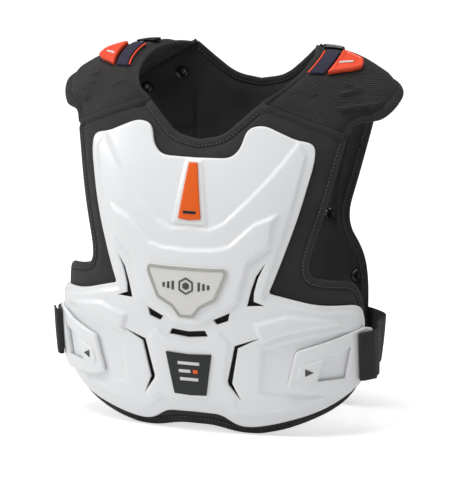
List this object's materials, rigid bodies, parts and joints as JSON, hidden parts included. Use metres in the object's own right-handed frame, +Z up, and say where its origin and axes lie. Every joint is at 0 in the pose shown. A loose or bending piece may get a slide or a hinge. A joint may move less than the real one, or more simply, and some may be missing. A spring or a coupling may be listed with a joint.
{
  "type": "chest protector",
  "caption": "White hard-shell chest and back protector on dark padded panels, with padded shoulder caps, vents, side straps and orange trim.",
  "frame": {"origin": "centre of the plan of the bounding box, on the surface that the hems stand on", "axes": "+Z up, -Y out of the front, +X to the viewer's right as one faces the front, which is the wearer's left"},
  "size_m": [0.4214, 0.2528, 0.4355],
  "materials": {
    "white_shell": "satin white moulded plastic",
    "dark_textile": "charcoal woven textile over foam",
    "badge_rubber": "matt warm light grey",
    "orange_print": "satin orange",
    "black_label": "satin green-black",
    "navy_webbing": "navy woven webbing",
    "orange_rubber": "matt orange-red",
    "black_plastic": "glossy black",
    "dark_webbing": "dark grey woven webbing"
  },
  "bodies": {
    "root": {"back_pad": "dark_textile", "back_shell": "white_shell", "centre_strip": "orange_print", "chest_badge": "badge_rubber", "front_pad": "dark_textile", "front_shell": "white_shell", "lower_label": "black_label", "press_stud_1": "black_plastic", "press_stud_2": "black_plastic", "press_stud_3": "black_plastic", "press_stud_4": "black_plastic", "press_stud_5": "black_plastic", "press_stud_6": "black_plastic", "press_stud_7": "black_plastic", "press_stud_8": "black_plastic", "pull_tab_left": "orange_rubber", "pull_tab_right": "orange_rubber", "shoulder_pad_left": "dark_textile", "shoulder_pad_right": "dark_textile", "shoulder_strap_left": "navy_webbing", "shoulder_strap_right": "navy_webbing", "side_strap_left": "dark_webbing", "side_strap_right": "dark_webbing", "strap_plate_left": "white_shell", "strap_plate_right": "white_shell", "strap_slot_left": "black_plastic", "strap_slot_right": "black_plastic"}
  },
  "joints": []
}
